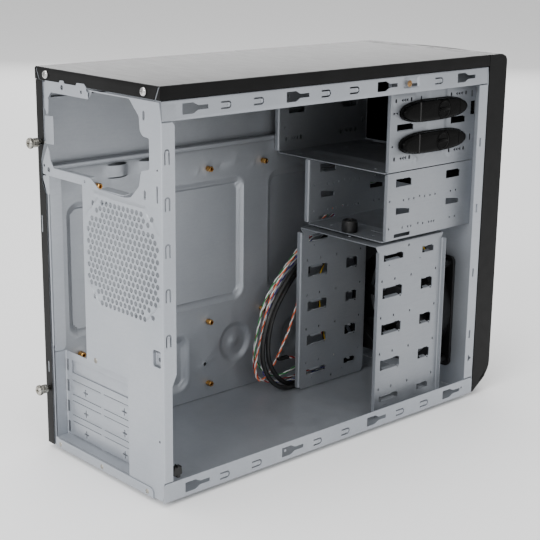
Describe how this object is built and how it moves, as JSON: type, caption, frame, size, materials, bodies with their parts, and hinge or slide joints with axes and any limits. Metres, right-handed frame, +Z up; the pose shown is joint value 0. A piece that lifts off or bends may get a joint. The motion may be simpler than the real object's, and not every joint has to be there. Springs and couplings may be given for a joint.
{
  "type": "desktop computer case",
  "caption": "Mini-tower computer case with its left cover off: steel chassis, drive cages, motherboard tray, front fan and loose front-panel leads.",
  "frame": {"origin": "on the ground under the middle of the case's bounding box, feet down", "axes": "+X is the case's right as seen from behind its front bezel (the motherboard tray's side), +Y its rear, +Z up"},
  "size_m": [0.178, 0.451, 0.356],
  "materials": {
    "audio_cable": "black PVC sheath",
    "audio_plug": "semi-gloss black moulded plastic",
    "bay_cover_lower": "satin black moulded plastic",
    "bay_cover_small": "satin black moulded plastic",
    "bay_cover_upper": "satin black moulded plastic",
    "cage_thumbscrew": "semi-gloss black moulded plastic",
    "clip_knob_lower": "semi-gloss black moulded plastic",
    "clip_knob_upper": "semi-gloss black moulded plastic",
    "corner_clip": "semi-gloss black moulded plastic",
    "cover_screw_left": "nickel-plated steel",
    "cover_screw_right": "nickel-plated steel",
    "disk_lead": "twisted pair, blue and white PVC",
    "disk_plug": "semi-gloss black moulded plastic",
    "drive_cage_35": "galvanised sheet, satin, faint rolling grain",
    "drive_cage_525": "galvanised sheet, satin, faint rolling grain",
    "drive_clip_lower": "semi-gloss black moulded plastic",
    "drive_clip_upper": "semi-gloss black moulded plastic",
    "fan_frame": "satin black moulded plastic",
    "fan_lead": "red, yellow and black PVC wires",
    "fan_plug": "natural white nylon",
    "fan_rotor": "satin black moulded plastic",
    "floor_pan": "galvanised sheet, satin, faint rolling grain",
    "foot_front_left": "matt black rubber",
    "foot_front_right": "matt black rubber",
    "foot_rear_left": "matt black rubber",
    "foot_rear_right": "matt black rubber",
    "front_bezel": "satin black moulded plastic",
    "front_grille": "satin black moulded plastic",
    "front_panel": "galvanised sheet, satin, faint rolling grain",
    "hdd_cage": "galvanised sheet, satin, faint rolling grain",
    "lamp_lead": "twisted pair, red and white PVC",
    "lamp_lens": "clear blue lens",
    "lamp_plug": "semi-gloss black moulded plastic",
    "motherboard_tray": "galvanised sheet, satin, faint rolling grain",
    "port_block": "satin black moulded plastic",
    "power_button": "satin black moulded plastic",
    "power_lead": "twisted pair, orange-red and white PVC",
    "power_plug": "semi-gloss black moulded plastic",
    "rail_screw": "nickel-plated steel",
    "rail_top_left": "galvanised sheet, satin, faint rolling grain",
    "rail_top_right": "galvanised sheet, satin, faint rolling grain",
    "rear_panel": "galvanised sheet, satin, faint rolling grain",
    "reset_button": "satin black moulded plastic",
    "reset_lead": "twisted pair, green and white PVC",
    "reset_plug": "semi-gloss black moulded plastic",
    "side_panel": "satin black powder paint",
    "slot_cover": "galvanised sheet, satin, faint rolling grain",
    "slot_frame": "galvanised sheet, satin, faint rolling grain",
    "standoff_base_middle": "machined brass",
    "standoff_low_front": "machined brass",
    "standoff_low_middle": "machined brass",
    "standoff_low_rear": "machined brass",
    "standoff_top_front": "machined brass",
    "standoff_top_middle": "machined brass",
    "standoff_top_rear": "machined brass",
    "thumbscrew_lower": "nickel-plated steel",
    "thumbscrew_upper": "nickel-plated steel",
    "top_cover": "satin black powder paint",
    "usb_cable": "black PVC sheath",
    "usb_plug": "semi-gloss black moulded plastic"
  },
  "bodies": {
    "chassis": {"audio_cable": "audio_cable", "audio_plug": "audio_plug", "bay_cover_lower": "bay_cover_lower", "bay_cover_small": "bay_cover_small", "bay_cover_upper": "bay_cover_upper", "corner_clip": "corner_clip", "cover_screw_left": "cover_screw_left", "cover_screw_right": "cover_screw_right", "disk_lead": "disk_lead", "disk_plug": "disk_plug", "drive_cage_35": "drive_cage_35", "drive_cage_525": "drive_cage_525", "drive_clip_lower": "drive_clip_lower", "drive_clip_upper": "drive_clip_upper", "fan_frame": "fan_frame", "fan_lead": "fan_lead", "fan_plug": "fan_plug", "floor_pan": "floor_pan", "foot_front_left": "foot_front_left", "foot_front_right": "foot_front_right", "foot_rear_left": "foot_rear_left", "foot_rear_right": "foot_rear_right", "front_bezel": "front_bezel", "front_grille": "front_grille", "front_panel": "front_panel", "lamp_lead": "lamp_lead", "lamp_lens": "lamp_lens", "lamp_plug": "lamp_plug", "motherboard_tray": "motherboard_tray", "port_block": "port_block", "power_lead": "power_lead", "power_plug": "power_plug", "rail_screw": "rail_screw", "rail_top_left": "rail_top_left", "rail_top_right": "rail_top_right", "rear_panel": "rear_panel", "reset_lead": "reset_lead", "reset_plug": "reset_plug", "slot_cover": "slot_cover", "slot_frame": "slot_frame", "standoff_base_middle": "standoff_base_middle", "standoff_low_front": "standoff_low_front", "standoff_low_middle": "standoff_low_middle", "standoff_low_rear": "standoff_low_rear", "standoff_top_front": "standoff_top_front", "standoff_top_middle": "standoff_top_middle", "standoff_top_rear": "standoff_top_rear", "top_cover": "top_cover", "usb_cable": "usb_cable", "usb_plug": "usb_plug"},
    "side_panel": {"side_panel": "side_panel"},
    "thumbscrew_upper": {"thumbscrew_upper": "thumbscrew_upper"},
    "thumbscrew_lower": {"thumbscrew_lower": "thumbscrew_lower"},
    "hdd_cage": {"hdd_cage": "hdd_cage"},
    "cage_thumbscrew": {"cage_thumbscrew": "cage_thumbscrew"},
    "fan_rotor": {"fan_rotor": "fan_rotor"},
    "power_button": {"power_button": "power_button"},
    "reset_button": {"reset_button": "reset_button"},
    "clip_knob_upper": {"clip_knob_upper": "clip_knob_upper"},
    "clip_knob_lower": {"clip_knob_lower": "clip_knob_lower"}
  },
  "joints": [
    {"name": "side_panel_slide", "type": "slide", "parent": "chassis", "child": "side_panel", "axis": [0, 1, 0], "range_m": [0, 0.012]},
    {"name": "thumbscrew_upper_turn", "type": "hinge", "parent": "side_panel", "child": "thumbscrew_upper", "pos_m": [0.084, 0.213, 0.2897], "axis": [0, 1, 0], "continuous": true},
    {"name": "thumbscrew_lower_turn", "type": "hinge", "parent": "side_panel", "child": "thumbscrew_lower", "pos_m": [0.084, 0.213, 0.0594], "axis": [0, 1, 0], "continuous": true},
    {"name": "hdd_cage_slide", "type": "slide", "parent": "chassis", "child": "hdd_cage", "axis": [0, 1, 0], "range_m": [0, 0.1]},
    {"name": "cage_thumbscrew_turn", "type": "hinge", "parent": "hdd_cage", "child": "cage_thumbscrew", "pos_m": [-0.0245, -0.0695, 0.1853], "axis": [0, 0, 1], "continuous": true},
    {"name": "fan_spin", "type": "hinge", "parent": "chassis", "child": "fan_rotor", "pos_m": [0, -0.1776, 0.086], "axis": [0, 1, 0], "continuous": true},
    {"name": "power_button_press", "type": "slide", "parent": "chassis", "child": "power_button", "axis": [0, 1, 0], "range_m": [0, 0.002], "stiffness_N_per_m": 600, "springref_m": -0.0015},
    {"name": "reset_button_press", "type": "slide", "parent": "chassis", "child": "reset_button", "axis": [0, 1, 0], "range_m": [0, 0.0015], "stiffness_N_per_m": 600, "springref_m": -0.0012},
    {"name": "clip_knob_upper_turn", "type": "hinge", "parent": "chassis", "child": "clip_knob_upper", "pos_m": [-0.0823, -0.136, 0.3072], "axis": [1, 0, 0], "range_deg": [0, 90]},
    {"name": "clip_knob_lower_turn", "type": "hinge", "parent": "chassis", "child": "clip_knob_lower", "pos_m": [-0.0823, -0.136, 0.2766], "axis": [1, 0, 0], "range_deg": [0, 90]}
  ]
}
